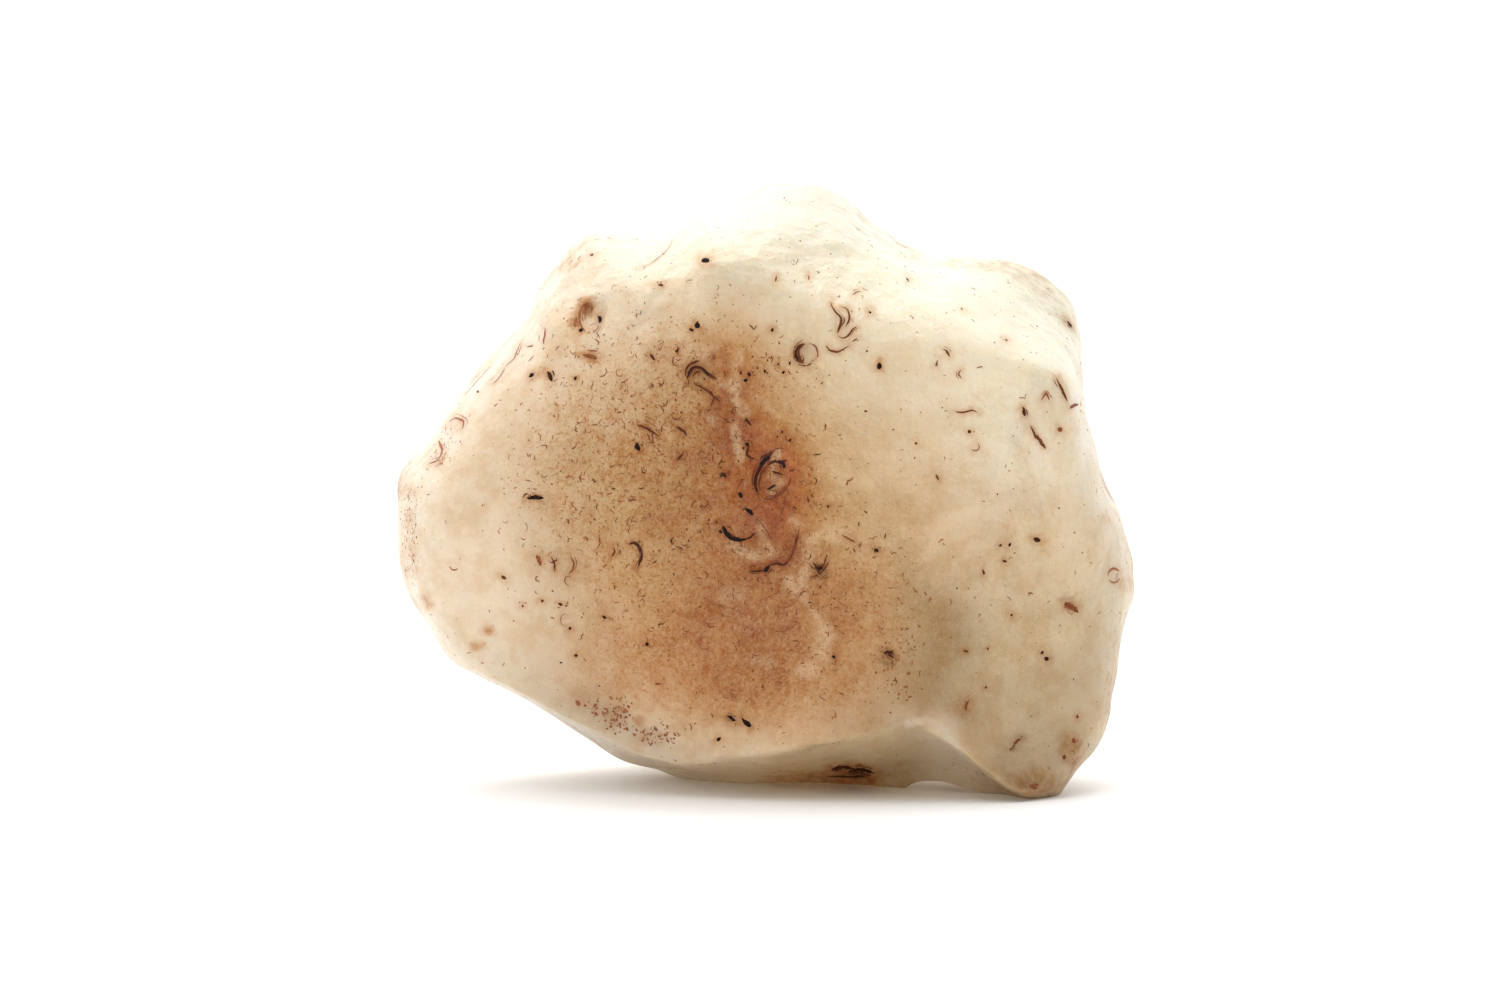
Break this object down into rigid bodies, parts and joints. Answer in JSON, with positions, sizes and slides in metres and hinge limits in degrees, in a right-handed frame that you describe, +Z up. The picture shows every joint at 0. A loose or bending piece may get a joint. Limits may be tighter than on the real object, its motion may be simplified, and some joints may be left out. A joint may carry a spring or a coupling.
{
  "type": "libyan desert glass",
  "caption": "Wind-worn lump of cloudy natural desert glass with broad scooped facets, an undercut below a sharp brow, small open bubbles, and a flat worn base it stands on.",
  "frame": {"origin": "centre of the lump's width and depth, at the level of the flat base it stands on", "axes": "+X along the longest width, to the right seen from the front; +Y across the thickness, away from the front face; +Z up"},
  "size_m": [0.0442, 0.0257, 0.0357],
  "materials": {
    "desert_glass": "cloudy, translucent, warm cream to brown, with a satin wind-worn skin"
  },
  "bodies": {
    "root": {"libyan_desert_glass": "desert_glass"}
  },
  "joints": []
}
